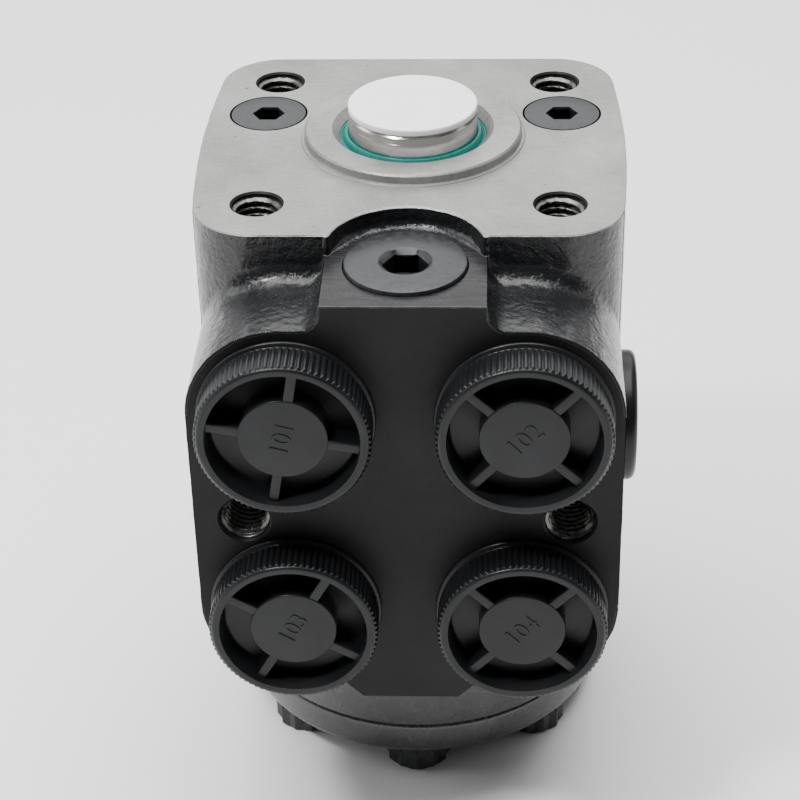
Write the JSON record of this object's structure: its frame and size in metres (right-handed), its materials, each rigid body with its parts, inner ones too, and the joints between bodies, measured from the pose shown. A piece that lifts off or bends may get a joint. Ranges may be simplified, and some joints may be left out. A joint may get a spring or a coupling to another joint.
{
  "type": "orbital steering unit",
  "caption": "Hydrostatic steering unit: cast valve housing with column flange, rotary spool and sleeve, gear metering set, relief and shock valves, capped line ports.",
  "frame": {"origin": "on the spool axis, in the machined face that the steering column bolts to, at the foot of the pilot boss", "axes": "+Z out of the shaft end along the spool axis, -Y towards the four line ports, +X towards the load-sense port"},
  "size_m": [0.0903, 0.1134, 0.1482],
  "materials": {
    "painted_iron": "black paint over cast iron, with bare ground flange face",
    "black_steel": "satin black paint",
    "ground_steel": "ground and hardened",
    "bearing_steel": "polished",
    "spring_steel": "oiled spring steel",
    "oxide_steel": "black oxide",
    "copper": "soft copper",
    "seal_teal": "moulded rubber",
    "seal_black": "moulded rubber",
    "cap_plastic": "moulded plastic, fine sheen",
    "plug_plastic": "moulded plastic"
  },
  "bodies": {
    "unit": {"housing": "painted_iron", "dust_seal": "seal_teal", "shaft_seal": "seal_black", "shaft_seal_ring": "seal_black", "bearing_race_upper": "bearing_steel", "channel_plate": "black_steel", "gear_ring": "black_steel", "end_cover": "black_steel", "cover_bolts": "oxide_steel", "bolt_washers": "oxide_steel", "seal_housing_plate": "seal_black", "seal_plate_ring": "seal_black", "seal_ring_cover": "seal_black", "relief_plug": "oxide_steel", "relief_plug_seal": "copper", "relief_adjuster": "oxide_steel", "relief_spring": "spring_steel", "relief_seat": "bearing_steel", "shock_rings": "copper", "shock_seats": "bearing_steel", "shock_plug_left": "oxide_steel", "shock_plug_right": "oxide_steel", "shock_spring_left": "spring_steel", "shock_spring_right": "spring_steel", "check_pin": "spring_steel"},
    "sleeve": {"valve_sleeve": "ground_steel", "spring_retainer": "spring_steel", "cross_pin": "bearing_steel", "neutral_springs": "spring_steel", "bearing_race_lower": "bearing_steel"},
    "spool": {"valve_spool": "ground_steel"},
    "bearing_cage": {"needle_cage": "bearing_steel", "bearing_needles": "bearing_steel"},
    "rotor_orbit": {"cardan_spacer": "bearing_steel"},
    "rotor": {"rotor": "bearing_steel"},
    "cardan": {"cardan_shaft": "ground_steel"},
    "relief_poppet": {"relief_poppet": "bearing_steel"},
    "shock_ball_left": {"shock_ball_left": "bearing_steel"},
    "shock_ball_right": {"shock_ball_right": "bearing_steel"},
    "check_ball": {"check_ball": "bearing_steel"},
    "cap_upper_left": {"port_cap_upper_left": "cap_plastic"},
    "cap_upper_right": {"port_cap_upper_right": "cap_plastic"},
    "cap_lower_left": {"port_cap_lower_left": "cap_plastic"},
    "cap_lower_right": {"port_cap_lower_right": "cap_plastic"},
    "sense_cap": {"sense_port_cap": "cap_plastic"},
    "spline_plug": {"spline_plug": "plug_plastic"}
  },
  "joints": [
    {"name": "sleeve_turn", "type": "hinge", "parent": "unit", "child": "sleeve", "pos_m": [0, 0, 0], "axis": [0, 0, 1], "continuous": true},
    {"name": "spool_deflection", "type": "hinge", "parent": "sleeve", "child": "spool", "pos_m": [0, 0, 0], "axis": [0, 0, 1], "range_deg": [-8, 8], "stiffness_Nm_per_rad": 6, "deforming": ["neutral_springs"]},
    {"name": "cage_turn", "type": "hinge", "parent": "unit", "child": "bearing_cage", "pos_m": [0, 0, 0], "axis": [0, 0, 1], "continuous": true},
    {"name": "rotor_orbit", "type": "hinge", "parent": "unit", "child": "rotor_orbit", "pos_m": [0, 0, 0], "axis": [0, 0, 1], "continuous": true},
    {"name": "rotor_spin", "type": "hinge", "parent": "rotor_orbit", "child": "rotor", "pos_m": [0, 0.0036, -0.119], "axis": [0, 0, 1], "continuous": true},
    {"name": "cardan_spin", "type": "hinge", "parent": "rotor_orbit", "child": "cardan", "pos_m": [0, 0.0036, -0.119], "axis": [0, -0.0423, 0.9991], "continuous": true},
    {"name": "relief_lift", "type": "slide", "parent": "unit", "child": "relief_poppet", "axis": [0, 0, 1], "range_m": [0, 0.0015], "stiffness_N_per_m": 400, "springref_m": -0.002, "deforming": ["relief_spring"]},
    {"name": "shock_lift_left", "type": "slide", "parent": "unit", "child": "shock_ball_left", "axis": [0, 0, 1], "range_m": [0, 0.001], "stiffness_N_per_m": 200, "springref_m": -0.002, "deforming": ["shock_spring_left"]},
    {"name": "shock_lift_right", "type": "slide", "parent": "unit", "child": "shock_ball_right", "axis": [0, 0, 1], "range_m": [0, 0.001], "stiffness_N_per_m": 200, "springref_m": -0.002, "deforming": ["shock_spring_right"]},
    {"name": "check_lift", "type": "slide", "parent": "unit", "child": "check_ball", "axis": [0, 0, 1], "range_m": [0, 0.0014]},
    {"name": "cap_upper_left_off", "type": "slide", "parent": "unit", "child": "cap_upper_left", "axis": [0, -1, 0], "range_m": [0, 0.022]},
    {"name": "cap_upper_right_off", "type": "slide", "parent": "unit", "child": "cap_upper_right", "axis": [0, -1, 0], "range_m": [0, 0.022]},
    {"name": "cap_lower_left_off", "type": "slide", "parent": "unit", "child": "cap_lower_left", "axis": [0, -1, 0], "range_m": [0, 0.022]},
    {"name": "cap_lower_right_off", "type": "slide", "parent": "unit", "child": "cap_lower_right", "axis": [0, -1, 0], "range_m": [0, 0.022]},
    {"name": "sense_cap_off", "type": "slide", "parent": "unit", "child": "sense_cap", "axis": [1, 0, 0], "range_m": [0, 0.018]},
    {"name": "spline_plug_off", "type": "slide", "parent": "spool", "child": "spline_plug", "axis": [0, 0, 1], "range_m": [0, 0.02]}
  ],
  "couplings": [
    {"joint": "cage_turn", "follows": "sleeve_turn", "ratio": 0.5},
    {"joint": "rotor_orbit", "follows": "sleeve_turn", "ratio": -6},
    {"joint": "rotor_spin", "follows": "sleeve_turn", "ratio": 7},
    {"joint": "cardan_spin", "follows": "sleeve_turn", "ratio": 7}
  ]
}
